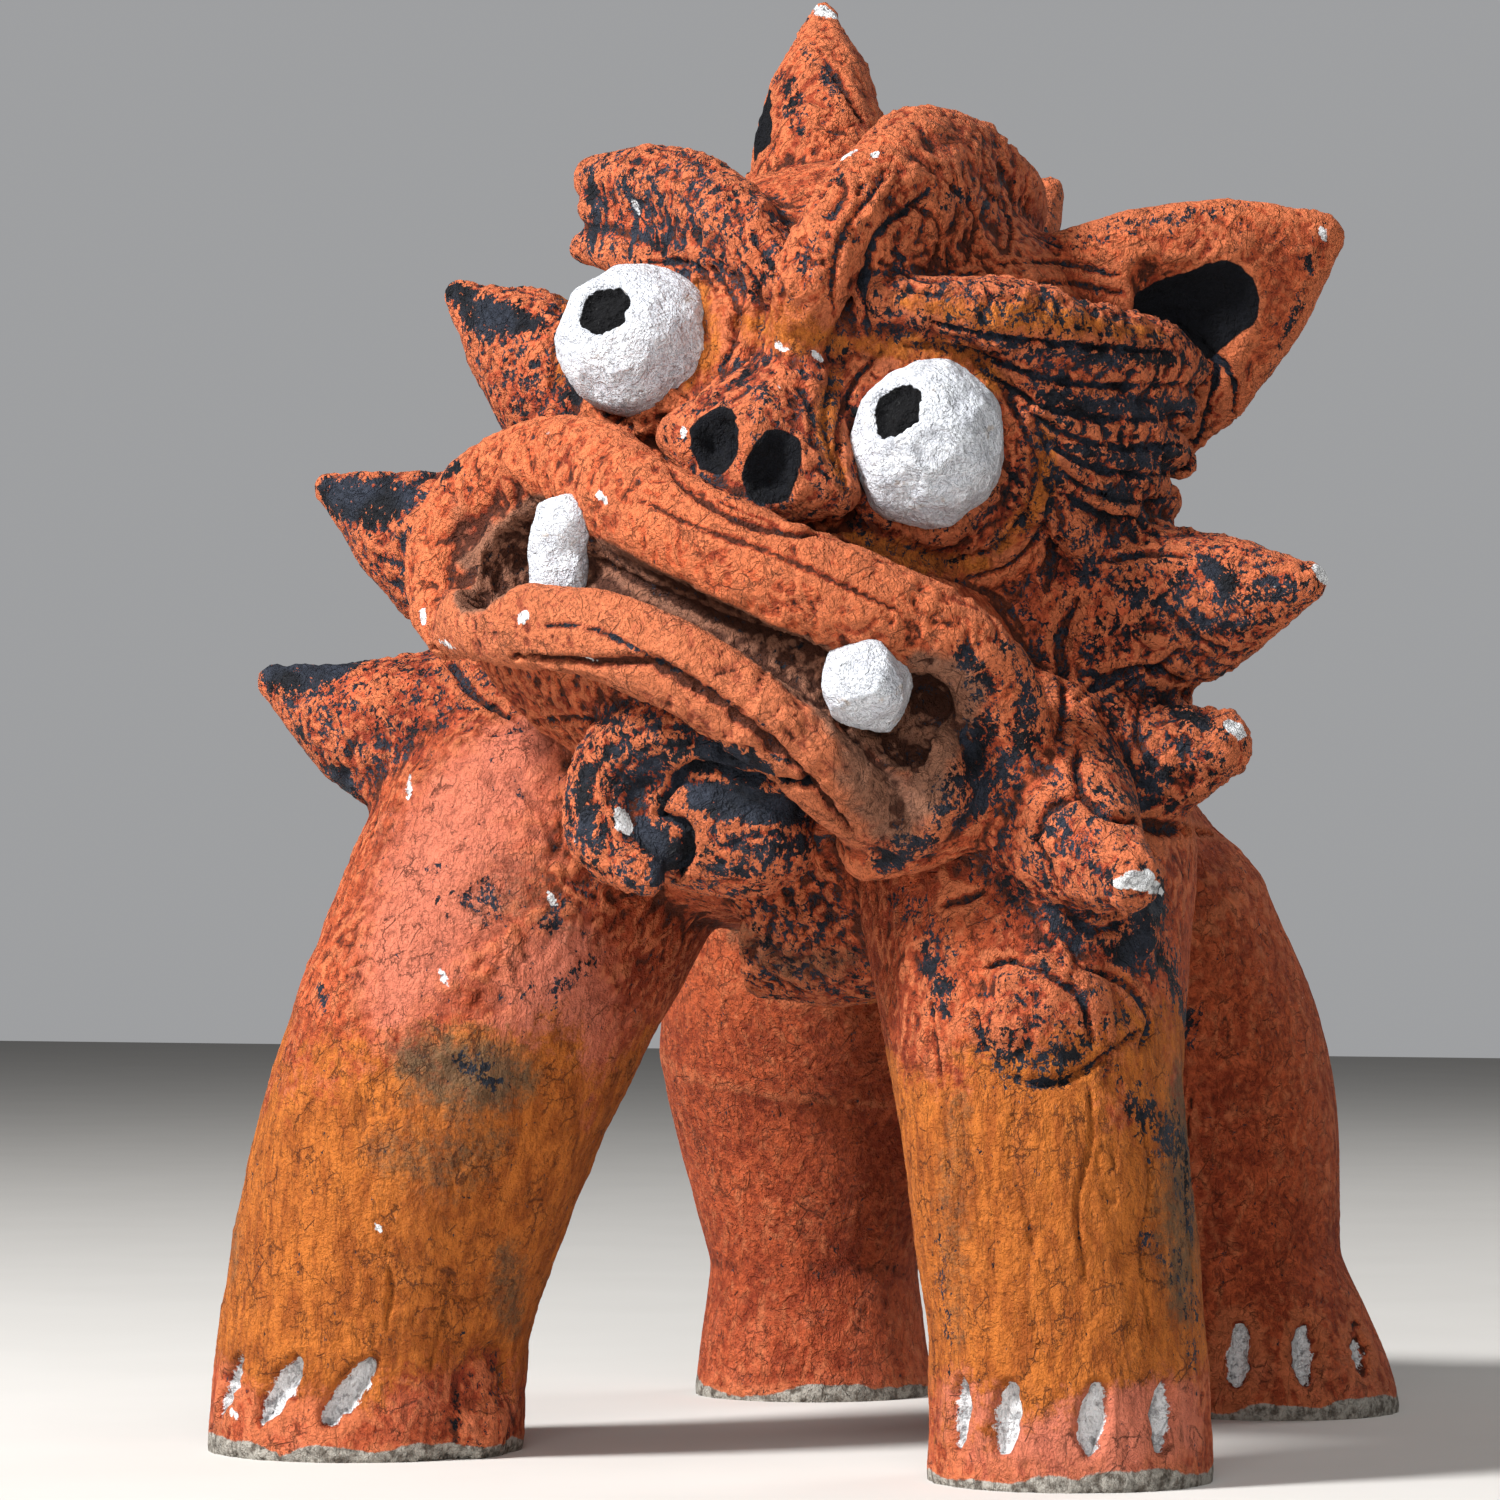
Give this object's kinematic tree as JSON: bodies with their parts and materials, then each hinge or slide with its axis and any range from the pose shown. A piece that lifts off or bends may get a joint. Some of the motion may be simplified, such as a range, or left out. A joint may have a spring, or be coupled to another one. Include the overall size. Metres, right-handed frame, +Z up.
{
  "type": "clay monster figure",
  "caption": "Hand-built terracotta monster on stumpy legs, head cocked to its left, with bulging white eyes, a crooked fanged mouth, a crest, cupped ears and a mane of hooked tufts.",
  "frame": {"origin": "on the ground, under the middle of the bounding box", "axes": "+Z up; the figure looks along -Y; +X is its own left, the side its head is cocked to"},
  "size_m": [0.2396, 0.2872, 0.3061],
  "materials": {
    "red_clay": "matte",
    "ochre_clay": "matte",
    "slate_clay": "matte",
    "dusty_clay": "matte",
    "white_paint": "matte"
  },
  "bodies": {
    "root": {"body_barrel": "red_clay", "foreleg_left": "ochre_clay", "foreleg_right": "ochre_clay", "foot_packing": "red_clay", "hindleg_left": "ochre_clay", "hindleg_right": "ochre_clay", "scale_lower": "slate_clay", "scale_upper": "slate_clay", "neck": "red_clay", "eye_left": "white_paint", "eye_right": "white_paint", "head": "red_clay", "ear_left": "red_clay", "ear_right": "red_clay", "crest": "red_clay", "brow_left": "slate_clay", "brow_right": "slate_clay", "eyelid_left": "slate_clay", "eyelid_right": "red_clay", "nose": "slate_clay", "lip_upper": "red_clay", "lip_lower": "dusty_clay", "fang_right": "white_paint", "fang_left": "white_paint", "beard": "slate_clay", "beard_curl": "slate_clay", "mane_left": "red_clay", "mane_right": "red_clay", "tuft_left_upper": "slate_clay", "tuft_left_middle": "slate_clay", "tuft_left_lower": "slate_clay", "tuft_right_upper": "slate_clay", "tuft_right_middle": "slate_clay", "tuft_right_lower": "slate_clay", "tuft_nape_top": "slate_clay", "tuft_nape_middle": "slate_clay", "tuft_nape_left": "slate_clay", "tuft_nape_right": "slate_clay", "tail": "slate_clay"}
  },
  "joints": []
}
